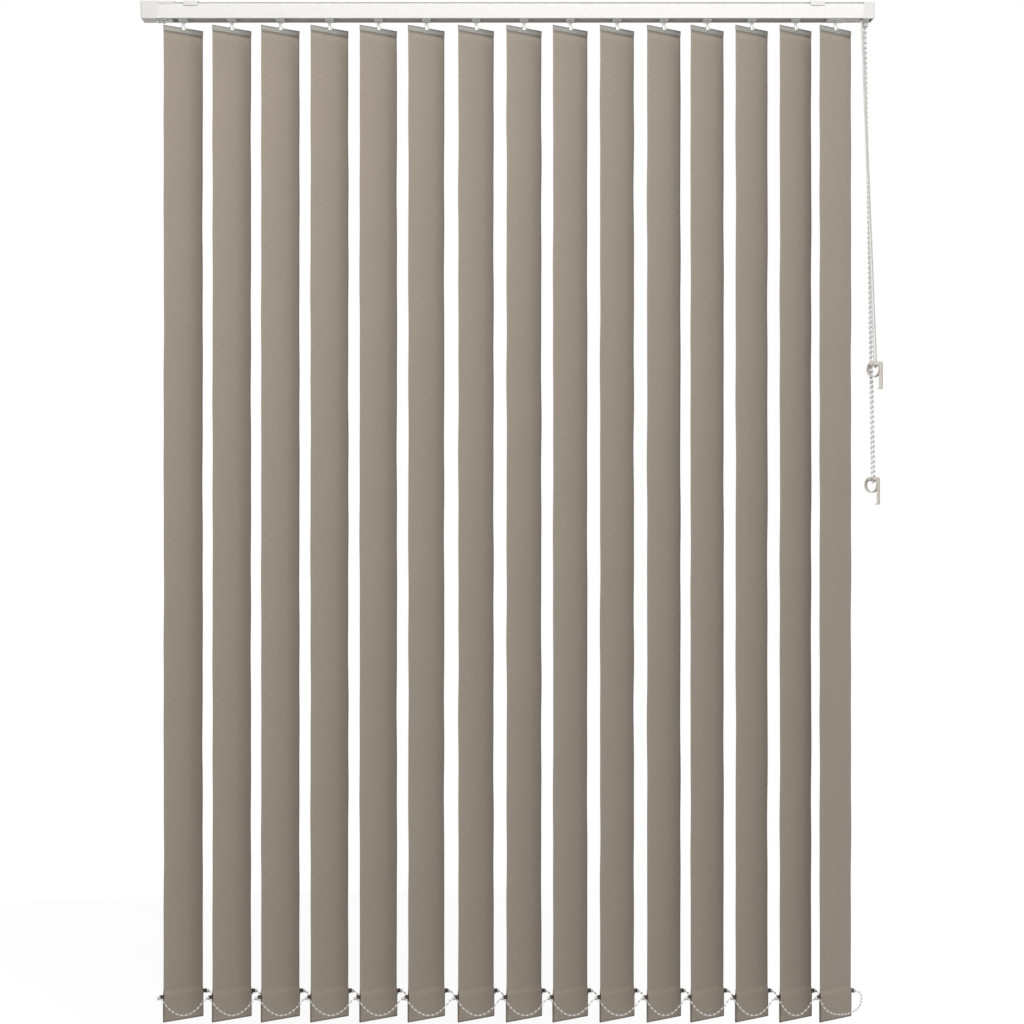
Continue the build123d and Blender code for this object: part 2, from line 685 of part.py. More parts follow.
# The draw cord inside the rail, from the control pulleys round the idler pulley and back.
rail_run_x = pulley_x - fit
inner_cord = tube_part("draw_cord in rail", [
    (rail_run_x, front_strand_y, cord_z),
    (idler_x - idler_turn, front_strand_y, cord_z),
    (idler_x - idler_turn, rear_strand_y, cord_z),
    (rail_run_x, rear_strand_y, cord_z),
], cord_diameter, {1: idler_turn - 0.1, 2: idler_turn - 0.1})
# The hanging loop, from the top of the front pulley down round the ring and up to the rear pulley.
leave_z = -25.0
front_exit = (drop_x + 0.1, -18.6, -40.0)
rear_exit = (drop_x + 3.6, -8.5, -44.0)
hanging_cord = tube_part("draw_cord hanging", [
    (pulley_x, front_strand_y, cord_z),
    (drop_x, front_strand_y, cord_z),
    (drop_x, front_strand_y, leave_z),
    front_exit,
    *bight_points(cord_ring_x, cord_ring_y, cord_ring_top, cord_arm, cord_bight),
    rear_exit,
    (drop_x, rear_strand_y, leave_z),
    (drop_x, rear_strand_y, cord_z),
    (pulley_x, rear_strand_y, cord_z),
], cord_diameter, {1: 7.6, 4: cord_bight - 0.05, 5: cord_bight - 0.05, 8: 7.6})
save(Compound([inner_cord.solid(), hanging_cord.solid()]), "draw_cord")

# The tilt chain, from the top of its wheel down round the ring and back over the wheel.
wheel_top_z = rod_z + chain_strand_offset
bead_chain = tube_part("bead_chain", [
    (chain_wheel_x, rod_y - fit / 2, wheel_top_z),
    (chain_wheel_x, rod_y - chain_strand_offset, wheel_top_z),
    (chain_wheel_x, rod_y - chain_strand_offset, nozzle_bottom - 4),
    *bight_points(chain_ring_x, chain_ring_y, chain_ring_top, chain_arm, chain_bight),
    (chain_wheel_x, rod_y + chain_strand_offset, nozzle_bottom - 4),
    (chain_wheel_x, rod_y + chain_strand_offset, wheel_top_z),
    (chain_wheel_x, rod_y + fit / 2, wheel_top_z),
], bead_diameter, {1: chain_bend, 3: chain_bight - 0.05, 4: chain_bight - 0.05, 6: chain_bend})
save(bead_chain, "bead_chain")


def stabiliser_points(side):
    """A chain hung from clip to clip along one edge of the vanes; side is -1 near, 1 far."""
    y = side * clip_dy
    eyes = [stem_x + side * clip_dx for stem_x in stem_xs]
    points = [(eyes[0], y, clip_z)]
    for left, right in zip(eyes, eyes[1:]):
        run = right - left - 2 * clip_half_run
        start = left + clip_half_run
        points.append((start, y, clip_z))
        for share, drop in ((0.16, 0.6), (0.38, 1), (0.62, 1), (0.84, 0.6)):
            points.append((start + share * run, y, clip_z - drop * chain_sag))
        points.append((right - clip_half_run, y, clip_z))
    points.append((eyes[-1], y, clip_z))
    return points


save(tube_part("front_chain", stabiliser_points(-1), small_bead, {}), "front_chain")
save(tube_part("rear_chain", stabiliser_points(1), small_bead, {}), "rear_chain")

# The chain's last loop, from the near clip of the end vane round in front of it to its far clip.
end_x = stem_xs[-1]
end_chain = tube_part("end_chain", [
    (end_x - clip_dx + clip_length / 2 + fit, -clip_dy, clip_z),
    (end_x - clip_dx + 6, -clip_dy, clip_z - 0.6),
    (end_x - 22, -42, -1726),
    (end_x - 2, -35, -1735),
    (end_x + 22, -16, -1736),
    (end_x + 42, 8, -1730),
    (end_x + 49, 27, -1716),
    (end_x + 47, 39, -1706.5),
    (end_x + clip_dx + clip_length / 2 + fit, clip_dy, clip_z),
], small_bead, {})
save(end_chain, "end_chain")
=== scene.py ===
import random
from math import cos, pi, radians, sin, tau

import bpy
from bpy.props import FloatProperty, FloatVectorProperty, IntProperty
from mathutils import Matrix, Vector


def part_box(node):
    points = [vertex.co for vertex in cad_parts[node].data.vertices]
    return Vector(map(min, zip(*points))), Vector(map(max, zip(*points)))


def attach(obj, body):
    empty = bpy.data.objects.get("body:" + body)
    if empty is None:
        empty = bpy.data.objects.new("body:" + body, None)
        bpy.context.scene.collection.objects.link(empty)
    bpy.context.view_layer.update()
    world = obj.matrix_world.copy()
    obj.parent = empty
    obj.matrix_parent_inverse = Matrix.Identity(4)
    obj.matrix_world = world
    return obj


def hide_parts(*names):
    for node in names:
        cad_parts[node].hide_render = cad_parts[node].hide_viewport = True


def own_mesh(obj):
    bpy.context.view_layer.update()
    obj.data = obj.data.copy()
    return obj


bl_info = {
    "name": "Vertical Blind",
    "version": (1, 0, 0),
    "blender": (4, 5, 0),
    "location": "3D View > Sidebar > Blind",
    "description": "Dresses a vertical blind: cloth vanes, cords, bead chains and finishes",
    "category": "Object",
}

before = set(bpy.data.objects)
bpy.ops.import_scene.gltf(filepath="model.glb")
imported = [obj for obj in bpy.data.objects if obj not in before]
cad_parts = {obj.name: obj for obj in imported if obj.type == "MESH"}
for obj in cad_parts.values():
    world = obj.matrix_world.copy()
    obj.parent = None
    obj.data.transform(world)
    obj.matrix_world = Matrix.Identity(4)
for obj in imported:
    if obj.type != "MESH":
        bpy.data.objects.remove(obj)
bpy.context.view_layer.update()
VANES = sorted(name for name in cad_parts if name.startswith("cloth_vane_"))
NEAR, FAR = -1, 1


# ---- Places that come from the packed model ----
def stem_of(cloth_node):
    """Where a vane's stem stands along the rail."""
    low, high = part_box(cloth_node)
    return (low.x + high.x) / 2


STEMS = [stem_of(name) for name in VANES]

# Fixed places in the packed model, in metres.
CLOTH_WIDTH = 0.089
CLIP_REACH = 0.056          # from a stem to the eye of a clip, along the vane
CLIP_HEIGHT = -1.7055
CLIP_HALF_LENGTH = 0.004
ROD_Y = 0.0095
WORM_RADIUS = 0.00365
CHAIN_WHEEL_START = 0.6118  # the tilt rod carries its chain wheel beyond this
HANGER_TOP = -0.043
HANGER_FLOOR = -0.06        # below this a vane's fittings are the weight and its clips
SKIN = 0.0008               # no wall of the rail is thinner than this


# ---- Sizes and colours that a user would change ----
class BlindStage(bpy.types.PropertyGroup):
    """The room round the blind."""

    camera_distance: FloatProperty(
        name="Camera distance", description="From the camera to the middle of the rail",
        default=5.0, unit="LENGTH")
    camera_height: FloatProperty(
        name="Camera height", description="Height of the camera, from the ceiling",
        default=-0.8954, unit="LENGTH")
    lens: FloatProperty(
        name="Lens", description="Focal length in millimetres", default=102.2, unit="CAMERA")
    floor_height: FloatProperty(
        name="Floor height", description="Height of the floor, from the ceiling",
        default=-1.9, unit="LENGTH")
    key_power: FloatProperty(
        name="Key light", description="Power of the large light high in front",
        default=49.0, unit="POWER")
    sun: FloatProperty(
        name="Daylight", description="Strength of the soft daylight from the front",
        default=0.5, min=0)
    air: FloatProperty(
        name="Air", description="Brightness of the light from all round",
        default=0.41, min=0, subtype="FACTOR")


class BlindCloth(bpy.types.PropertyGroup):
    """The vanes' cloth."""

    colour: FloatVectorProperty(
        name="Colour", description="Colour of the woven cloth",
        default=(0.370, 0.315, 0.256), subtype="COLOR", min=0, max=1)
    tilt: FloatProperty(
        name="Tilt", description="Turn of the vanes from the line of the rail",
        default=radians(47.5), unit="ROTATION")
    thickness: FloatProperty(
        name="Thickness", description="Thickness of one layer", default=0.00046, unit="LENGTH")
    bow: FloatProperty(
        name="Bow", description="How far the middle stands proud of the two edges",
        default=0.002, unit="LENGTH")
    thread: FloatProperty(
        name="Thread pitch", description="Distance from one thread to the next",
        default=0.00062, unit="LENGTH")
    pocket_height: FloatProperty(
        name="Pocket height", description="Height of the pocket for the weight",
        default=0.0504, unit="LENGTH")


class BlindChains(bpy.types.PropertyGroup):
    """The tilt chain and the stabilising chains."""

    tilt_bead: FloatProperty(
        name="Tilt bead", description="Diameter of a bead on the tilt chain",
        default=0.0045, unit="LENGTH")
    tilt_pitch: FloatProperty(
        name="Tilt pitch", description="Distance between beads on the tilt chain",
        default=0.0086, unit="LENGTH")
    small_bead: FloatProperty(
        name="Small bead", description="Diameter of a bead on the stabilising chains",
        default=0.0037, unit="LENGTH")
    small_pitch: FloatProperty(
        name="Small pitch", description="Distance between beads on the stabilising chains",
        default=0.0079, unit="LENGTH")
    thread: FloatProperty(
        name="Thread", description="Diameter of the thread between beads",
        default=0.001, unit="LENGTH")
    sag: FloatProperty(
        name="Sag", description="Drop of a stabilising chain's route between two vanes",
        default=0.0288, unit="LENGTH")
    colour: FloatVectorProperty(
        name="Colour", description="Colour of the beads",
        default=(0.72, 0.71, 0.68), subtype="COLOR", min=0, max=1)


class BlindCord(bpy.types.PropertyGroup):
    """The draw cord."""

    diameter: FloatProperty(
        name="Diameter", description="Diameter of the cord", default=0.0024, unit="LENGTH")
    sides: IntProperty(
        name="Sides", description="Faces round the cord", default=12, min=6, max=32)
    colour: FloatVectorProperty(
        name="Colour", description="Colour of the braid",
        default=(0.78, 0.76, 0.72), subtype="COLOR", min=0, max=1)


class BlindFinishes(bpy.types.PropertyGroup):
    """Colours of the hard parts."""

    enamel: FloatVectorProperty(
        name="Enamel", description="White enamel of the rail and brackets",
        default=(0.592, 0.579, 0.554), subtype="COLOR", min=0, max=1)
    # Painted light: the underside colour is the rail's own white enamel painted paler, standing in
    # for the light that reaches inside and under the rail.
    underside: FloatVectorProperty(
        name="Underside", description="Paler enamel inside and under the rail",
        default=(0.90, 0.885, 0.855), subtype="COLOR", min=0, max=1)
    # Painted light: the carriers and stems take this paler white while the caps, of the same white
    # plastic, take the enamel colour; the paler white stands in for light on parts that sit in
    # shade under the rail.
    plastic: FloatVectorProperty(
        name="White plastic", description="Caps, carriers and stems",
        default=(0.90, 0.89, 0.86), subtype="COLOR", min=0, max=1)
    clear: FloatVectorProperty(
        name="Clear plastic", description="Hangers",
        default=(0.59, 0.58, 0.53), subtype="COLOR", min=0, max=1)
    clip: FloatVectorProperty(
        name="Clip plastic", description="Clips that hold the chains",
        default=(0.80, 0.80, 0.77), subtype="COLOR", min=0, max=1)
    weight: FloatVectorProperty(
        name="Weight", description="Bottom weights and their tabs",
        default=(0.085, 0.062, 0.048), subtype="COLOR", min=0, max=1)
    cream: FloatVectorProperty(
        name="Cream plastic", description="Tensioners",
        default=(0.615, 0.58, 0.52), subtype="COLOR", min=0, max=1)
    metal: FloatVectorProperty(
        name="Aluminium", description="Tilt rod",
        default=(0.72, 0.73, 0.74), subtype="COLOR", min=0, max=1)


# ---- Finishes ----
def new_finish(name, colour, roughness, **constants):
    """A finish with its constant values set on the shader's own sockets."""
    finish = bpy.data.materials.new(name)
    finish.use_nodes = True
    finish.diffuse_color = (*colour, 1)
    shader = finish.node_tree.nodes["Principled BSDF"]
    shader.inputs["Base Color"].default_value = (*colour, 1)
    shader.inputs["Roughness"].default_value = roughness
    for socket, value in constants.items():
        shader.inputs[socket.replace("_", " ")].default_value = value
    return finish, finish.node_tree, shader


def node(tree, kind, **settings):
    """A node with its options and inputs set; option names start small, input names start large."""
    made = tree.nodes.new("ShaderNode" + kind)
    for key, value in settings.items():
        if key[0].islower():
            setattr(made, key, value)
        else:
            made.inputs[key].default_value = value
    return made


def maths(tree, operation, first, second=None, clamp=False):
    """One sum; each term is a socket or a number."""
    made = node(tree, "Math", operation=operation, use_clamp=clamp)
    for slot, term in zip(made.inputs, (first, second)):
        if hasattr(term, "is_linked"):
            tree.links.new(term, slot)
        elif term is not None:
            slot.default_value = term
    return made.outputs[0]


def shade_of(colour, factor):
    return (*(min(1, channel * factor) for channel in colour), 1)


def mixed(tree, factor, dark, light):
    """A colour between two, by a factor; each colour is a socket or a value."""
    made = node(tree, "Mix", data_type="RGBA")
    tree.links.new(factor, made.inputs[0])
    for slot, colour in ((made.inputs[6], dark), (made.inputs[7], light)):
        if hasattr(colour, "is_linked"):
            tree.links.new(colour, slot)
        else:
            slot.default_value = colour
    return made.outputs[2]


def ranged(tree, value, low, high, to_low=0.0, to_high=1.0):
    """A value stretched from one range to another, and held inside it."""
    made = node(tree, "MapRange", interpolation_type="SMOOTHSTEP")
    tree.links.new(value, made.inputs["Value"])
    for socket, number in (("From Min", low), ("From Max", high),
                           ("To Min", to_low), ("To Max", to_high)):
        made.inputs[socket].default_value = number
    return made.outputs[0]


def grain(tree, scale, stretch=(1, 1, 1), coordinate="Object", detail=3.0):
    """Noise over the piece, finer along an axis whose stretch is larger."""
    place = node(tree, "TexCoord")
    mapping = node(tree, "Mapping", Scale=stretch)
    tree.links.new(place.outputs[coordinate], mapping.inputs["Vector"])
    noise = node(tree, "TexNoise", Scale=scale, Detail=detail)
    tree.links.new(mapping.outputs[0], noise.inputs["Vector"])
    return noise.outputs["Fac"]


def bumped(tree, shader, height, distance, strength=1.0, normal=None):
    bump = node(tree, "Bump", Distance=distance, Strength=strength)
    tree.links.new(height, bump.inputs["Height"])
    if normal is not None:
        tree.links.new(normal, bump.inputs["Normal"])
    tree.links.new(bump.outputs[0], shader.inputs["Normal"])


def edge_share(tree, radius):
    """1 on a sharp edge, falling to 0 on a flat face, and the rounded normal."""
    rounded = node(tree, "Bevel", samples=6, Radius=radius)
    flat = node(tree, "NewGeometry")
    dot = node(tree, "VectorMath", operation="DOT_PRODUCT")
    tree.links.new(rounded.outputs[0], dot.inputs[0])
    tree.links.new(flat.outputs["Normal"], dot.inputs[1])
    return ranged(tree, maths(tree, "SUBTRACT", 1.0, dot.outputs["Value"]), 0.004, 0.12), rounded


def hard_finish(name, colour, roughness, mottle=(14, 0.03), skin=(900, 0.00002),
                edge_highlight=1.05, edge_radius=0.0005, corner_shade=0.12, **constants):
    """Enamel or moulded plastic: an uneven tone, a fine skin, edges painted lighter as a painted
    highlight and corners painted darker as painted shade.
    """
    finish, tree, shader = new_finish(name, colour, roughness, **constants)
    cloud = grain(tree, mottle[0])
    tone = mixed(tree, cloud, shade_of(colour, 1 - mottle[1]), shade_of(colour, 1 + mottle[1]))
    # Painted highlight: sharp and rounded edges are painted lighter than the flat faces.
    edges, rounded = edge_share(tree, edge_radius)
    tone = mixed(tree, edges, tone, shade_of(colour, edge_highlight))
    # Painted shade: corners and recesses that the ambient occlusion finds are painted darker,
    # towards 0.45 of the colour.
    corner = node(tree, "AmbientOcclusion", samples=6, Distance=0.006)
    shaded_corners = ranged(tree, corner.outputs["AO"], 0.25, 0.85, corner_shade, 0.0)
    tone = mixed(tree, shaded_corners, tone, shade_of(colour, 0.45))
    tree.links.new(tone, shader.inputs["Base Color"])
    gloss = ranged(tree, grain(tree, mottle[0] * 6), 0.3, 0.7, roughness - 0.05, roughness + 0.06)
    tree.links.new(gloss, shader.inputs["Roughness"])
    bumped(tree, shader, grain(tree, skin[0]), skin[1], normal=rounded.outputs[0])
    return finish


def brushed_metal(name, colour):
    """Aluminium drawn along the rail: fine lines along its length."""
    finish, tree, shader = new_finish(name, colour, 0.34, Metallic=1.0)
    lines = grain(tree, 260, stretch=(0.04, 6, 6), detail=4)
    tone = mixed(tree, lines, shade_of(colour, 0.78), shade_of(colour, 1.12))
    tree.links.new(tone, shader.inputs["Base Color"])
    tree.links.new(ranged(tree, lines, 0.3, 0.7, 0.24, 0.46), shader.inputs["Roughness"])
    bumped(tree, shader, lines, 0.00003)
    return finish


def clear_finish(name, colour, clearness, shaded_top=None):
    """Thin clear plastic, faintly milky, with flow lines from its mould and a painted shade line
    along its top lip.
    """
    finish, tree, shader = new_finish(name, colour, 0.2, Transmission_Weight=clearness, IOR=1.47)
    flow = grain(tree, 60, stretch=(1, 1, 7))
    tone = mixed(tree, flow, shade_of(colour, 0.93), shade_of(colour, 1.05))
    # Painted shade: a dark band just under the top of the hanger.
    if shaded_top is not None:
        place, height = node(tree, "TexCoord"), node(tree, "SeparateXYZ")
        tree.links.new(place.outputs["Object"], height.inputs[0])
        lip = ranged(tree, height.outputs["Z"], shaded_top - 0.0027, shaded_top - 0.0013,
                     0.0, 0.6)
        tone = mixed(tree, lip, tone, shade_of(colour, 0.35))
    tree.links.new(tone, shader.inputs["Base Color"])
    tree.links.new(ranged(tree, flow, 0.3, 0.7, 0.14, 0.28), shader.inputs["Roughness"])
    bumped(tree, shader, flow, 0.00003)
    return finish


def woven_finish(name, look):
    """Plain weave: threads both ways, thicker slubs along the weft, and sealed edges."""
    colour = tuple(look.colour)
    finish, tree, shader = new_finish(
        name, colour, 0.82, Sheen_Weight=0.25, Sheen_Roughness=0.55, Specular_IOR_Level=0.25)
    place = node(tree, "UVMap")
    parts = node(tree, "SeparateXYZ")
    tree.links.new(place.outputs[0], parts.inputs[0])
    across, down = parts.outputs["X"], parts.outputs["Y"]
    turn = tau / look.thread
    wander = grain(tree, 420, coordinate="UV", detail=2)
    warp, weft = (maths(tree, "SINE", maths(tree, "ADD", maths(tree, "MULTIPLY", way, turn),
                                            maths(tree, "MULTIPLY", wander, stray)))
                  for way, stray in ((across, 2.4), (down, 3.1)))
    slub = grain(tree, 30, stretch=(2.2, 34, 1), coordinate="UV", detail=4)
    yarn = grain(tree, 34, stretch=(30, 1.4, 1), coordinate="UV", detail=3)
    cloud = grain(tree, 9)
    thread_tone = mixed(tree, ranged(tree, slub, 0.3, 0.72), shade_of(colour, 0.89),
                        shade_of(colour, 1.11))
    yarn_tone = mixed(tree, ranged(tree, yarn, 0.3, 0.7), shade_of(colour, 0.92),
                      shade_of(colour, 1.08))
    tone = node(tree, "Mix", data_type="RGBA")
    tone.inputs[0].default_value = 0.42
    tree.links.new(thread_tone, tone.inputs[6])
    tree.links.new(yarn_tone, tone.inputs[7])
    crossing = ranged(tree, maths(tree, "MULTIPLY", warp, weft), -1, 1)
    tone = mixed(tree, maths(tree, "MULTIPLY", crossing, 0.16), tone.outputs[2],
                 shade_of(colour, 0.6))
    tone = mixed(tree, ranged(tree, cloud, 0.35, 0.65, 0.0, 0.1), tone, shade_of(colour, 0.8))
    half = (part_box(VANES[0])[1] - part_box(VANES[0])[0]).xy.length / 2
    to_edge = maths(tree, "SUBTRACT", half, maths(tree, "ABSOLUTE", across))
    sealed = ranged(tree, to_edge, 0.0014, 0.004, 0.8, 0.0)
    tone = mixed(tree, sealed, tone, shade_of(colour, 0.46))
    brown = (colour[0] * 0.88, colour[1] * 0.8, colour[2] * 0.74, 1)
    tone = mixed(tree, ranged(tree, to_edge, 0.002, 0.007, 0.3, 0.0), tone, brown)
    tone = mixed(tree, ranged(tree, down, 0.0074, 0.0094, 0.6, 0.0), tone, shade_of(colour, 0.42))
    body, height = node(tree, "TexCoord"), node(tree, "SeparateXYZ")
    tree.links.new(body.outputs["Object"], height.inputs[0])
    # Painted shade: the cloth is darker along the bottom fold of the pocket.
    hem_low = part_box(VANES[0])[0].z
    hem_shade = ranged(tree, height.outputs["Z"], hem_low + 0.0015, hem_low + 0.0042, 0.65, 0.0)
    tone = mixed(tree, hem_shade, tone, shade_of(colour, 0.45))
    tree.links.new(tone, shader.inputs["Base Color"])
    tree.links.new(ranged(tree, yarn, 0.3, 0.7, 0.74, 0.9), shader.inputs["Roughness"])
    relief = maths(tree, "ADD", maths(tree, "ADD", warp, weft), maths(tree, "MULTIPLY", slub, 2.0))
    bumped(tree, shader, relief, 0.00005, 0.6)
    return finish


def braided_finish(name, colour):
    """A round braid: two sets of strands that cross round the cord."""
    finish, tree, shader = new_finish(name, colour, 0.62, Sheen_Weight=0.2, Sheen_Roughness=0.4)
    place = node(tree, "UVMap")
    parts = node(tree, "SeparateXYZ")
    tree.links.new(place.outputs[0], parts.inputs[0])
    strands = []
    for lean in (1, -1):
        along = maths(tree, "MULTIPLY", parts.outputs["Y"], tau / 0.0036)
        round_it = maths(tree, "MULTIPLY", parts.outputs["X"], lean * 4 * tau)
        strands.append(maths(tree, "SINE", maths(tree, "ADD", along, round_it)))
    height = maths(tree, "MAXIMUM", strands[0], strands[1])
    tone = mixed(tree, ranged(tree, height, -0.3, 0.9), shade_of(colour, 0.72),
                 shade_of(colour, 1.06))
    fibre = grain(tree, 1500, detail=2)
    tone = mixed(tree, ranged(tree, fibre, 0.3, 0.7, 0.0, 0.2), tone, shade_of(colour, 0.86))
    tree.links.new(tone, shader.inputs["Base Color"])
    tree.links.new(ranged(tree, fibre, 0.3, 0.7, 0.55, 0.72), shader.inputs["Roughness"])
    bumped(tree, shader, height, 0.00025)
    return finish


FINISHES = {}


def finish_of(name):
    """Each finish is made once, when a piece first asks for it."""
    if name not in FINISHES:
        scene = bpy.context.scene
        colours = scene.blind_finishes
        chains = tuple(scene.blind_chains.colour)
        makers = {
            "enamel": lambda: hard_finish(
                "rail_enamel", tuple(colours.enamel), 0.3, Coat_Weight=0.25, Coat_Roughness=0.12),
            # Painted light: moulded white is painted paler than the caps, for carriers and stems in
            # shade under the rail.
            "plastic": lambda: hard_finish(
                "moulded_white_painted_light", tuple(colours.plastic), 0.42, skin=(2200, 0.000015),
                corner_shade=0.12, Subsurface_Weight=0.05),
            "cap": lambda: hard_finish(
                "cap_plastic", tuple(colours.enamel), 0.42, skin=(2200, 0.000015),
                corner_shade=0.2),
            # Painted light: a paler copy of the rail enamel for faces inside and under the rail and
            # its ends.
            "underside": lambda: hard_finish(
                "rail_underside_painted_light", tuple(colours.underside), 0.4, corner_shade=0.04),
            "tilt_beads": lambda: hard_finish(
                "tilt_bead_plastic", tuple(channel * 0.9 for channel in chains), 0.3,
                mottle=(300, 0.04), edge_radius=0.0002),
            "worm": lambda: hard_finish(
                "worm_nylon", (0.62, 0.62, 0.60), 0.4, skin=(2600, 0.000012)),
            "weight": lambda: hard_finish(
                "weight_coating", tuple(colours.weight), 0.5, edge_highlight=1.6,
                skin=(1400, 0.00003)),
            "cream": lambda: hard_finish(
                "tensioner_plastic", tuple(colours.cream), 0.4, skin=(1800, 0.00002),
                corner_shade=0.4, edge_highlight=1.12),
            "beads": lambda: hard_finish(
                "bead_plastic", chains, 0.3, mottle=(300, 0.04), edge_radius=0.0002),
            "clear": lambda: clear_finish("clear_hanger", tuple(colours.clear), 0.35, HANGER_TOP),
            "clip": lambda: clear_finish("clear_clip", tuple(colours.clip), 0.3),
            "metal": lambda: brushed_metal("drawn_aluminium", tuple(colours.metal)),
            "wire": lambda: brushed_metal("keeper_steel", (0.55, 0.55, 0.56)),
            "braid": lambda: braided_finish("cord_braid", tuple(scene.blind_cord.colour)),
            "cloth": lambda: woven_finish("woven_cloth", scene.blind_cloth),
        }
        FINISHES[name] = makers[name]()
    return FINISHES[name]


def dress(node_name, *names, choose=None):
    """Puts finishes on a CAD node; choose says which one a face at a place takes."""
    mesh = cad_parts[node_name].data
    mesh.materials.clear()
    for name in names:
        mesh.materials.append(finish_of(name))
    for face in mesh.polygons:
        face.material_index = choose(face.center) if choose else 0


# ---- Shapes ----
def new_piece(name, points, faces, finish, body, smooth=True, uvs=None):
    """A mesh piece in the row frame, on its body, with its finish."""
    mesh = bpy.data.meshes.new(name)
    mesh.from_pydata([tuple(point) for point in points], [], faces)
    if uvs:
        layer = mesh.uv_layers.new(name="cut")
        for loop in mesh.loops:
            layer.data[loop.index].uv = uvs[loop.vertex_index]
    mesh.polygons.foreach_set("use_smooth", [smooth] * len(mesh.polygons))
    mesh.materials.append(finish_of(finish))
    mesh.update()
    piece = bpy.data.objects.new(name, mesh)
    bpy.context.scene.collection.objects.link(piece)
    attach(piece, body)
    return piece


def line_through(points):
    """The smooth line of a cord whose route has these corners, as close points."""
    curve = bpy.data.curves.new("route", "CURVE")
    curve.dimensions = "3D"
    curve.resolution_u = 16
    spline = curve.splines.new("NURBS")
    spline.points.add(len(points) - 1)
    for corner, place in zip(spline.points, points):
        corner.co = (*place, 1)
    spline.order_u = 3
    spline.use_endpoint_u = True
    route = bpy.data.objects.new("route", curve)
    mesh = bpy.data.meshes.new_from_object(route)
    line = [vertex.co.copy() for vertex in mesh.vertices]
    bpy.data.objects.remove(route)
    bpy.data.curves.remove(curve)
    bpy.data.meshes.remove(mesh)
    return line


def length_of(line):
    return sum((b - a).length for a, b in zip(line, line[1:]))


def evenly(line, pitch, start=0.0):
    """Places and directions along a line, a pitch apart."""
    places, travelled, wanted = [], 0.0, start
    for a, b in zip(line, line[1:]):
        step = (b - a).length
        while step > 0 and wanted <= travelled + step:
            places.append((a.lerp(b, (wanted - travelled) / step), (b - a).normalized()))
            wanted += pitch
        travelled += step
    return places


def square_to(direction, hint):
    """Two directions square to a direction, the first as near a hint as can be."""
    first = (hint - direction * hint.dot(direction)).normalized()
    return first, direction.cross(first)


def add_tube(line, radius, sides, points, faces, uvs, wobble=None):
    """A closed tube along a line; wobble(angle, distance) scales its radius."""
    first_index, travelled = len(points), 0.0
    hint = Vector((0.31, 0.23, 0.92))
    for i, place in enumerate(line):
        before, after = line[max(i - 1, 0)], line[min(i + 1, len(line) - 1)]
        direction = (after - before).normalized()
        hint, side = square_to(direction, hint)
        travelled += (place - line[i - 1]).length if i else 0.0
        for k in range(sides):
            angle = tau * k / sides
            reach = radius * (wobble(angle, travelled) if wobble else 1.0)
            points.append(place + hint * cos(angle) * reach + side * sin(angle) * reach)
            uvs.append((k / sides, travelled))
    for i in range(len(line) - 1):
        low = first_index + i * sides
        for k in range(sides):
            nxt = (k + 1) % sides
            faces.append((low + k, low + nxt, low + sides + nxt, low + sides + k))
    faces.append(tuple(first_index + k for k in reversed(range(sides))))
    last = first_index + (len(line) - 1) * sides
    faces.append(tuple(last + k for k in range(sides)))


def add_bead(place, direction, radius, sides, rings, points, faces, uvs):
    """A round bead, with its ends on the thread."""
    first, side = square_to(direction, Vector((0.31, 0.23, 0.92)))
    base = len(points)
    points.append(place - direction * radius)
    for ring in range(1, rings):
        turn = pi * ring / rings
        for k in range(sides):
            angle = tau * k / sides
            spoke = first * cos(angle) + side * sin(angle)
            points.append(place - direction * cos(turn) * radius + spoke * sin(turn) * radius)
    points.append(place + direction * radius)
    uvs.extend([(0, 0)] * (len(points) - base))
    tip = len(points) - 1
    for k in range(sides):
        nxt = (k + 1) % sides
        faces.append((base, base + 1 + nxt, base + 1 + k))
        for ring in range(rings - 2):
            low = base + 1 + ring * sides
            faces.append((low + k, low + nxt, low + sides + nxt, low + sides + k))
        low = base + 1 + (rings - 2) * sides
        faces.append((low + k, low + nxt, tip))


def bead_string(name, line, pitch, bead, thread, sides, rings, body, start=None,
                finish="beads"):
    """Beads on a thread, as one piece that follows a line."""
    points, faces, uvs = [], [], []
    add_tube(line, thread / 2, 6, points, faces, uvs)
    first = pitch / 2 if start is None else start
    for place, direction in evenly(line, pitch, first):
        add_bead(place, direction, bead / 2, sides, rings, points, faces, uvs)
    return new_piece(name, points, faces, finish, body, uvs=uvs)


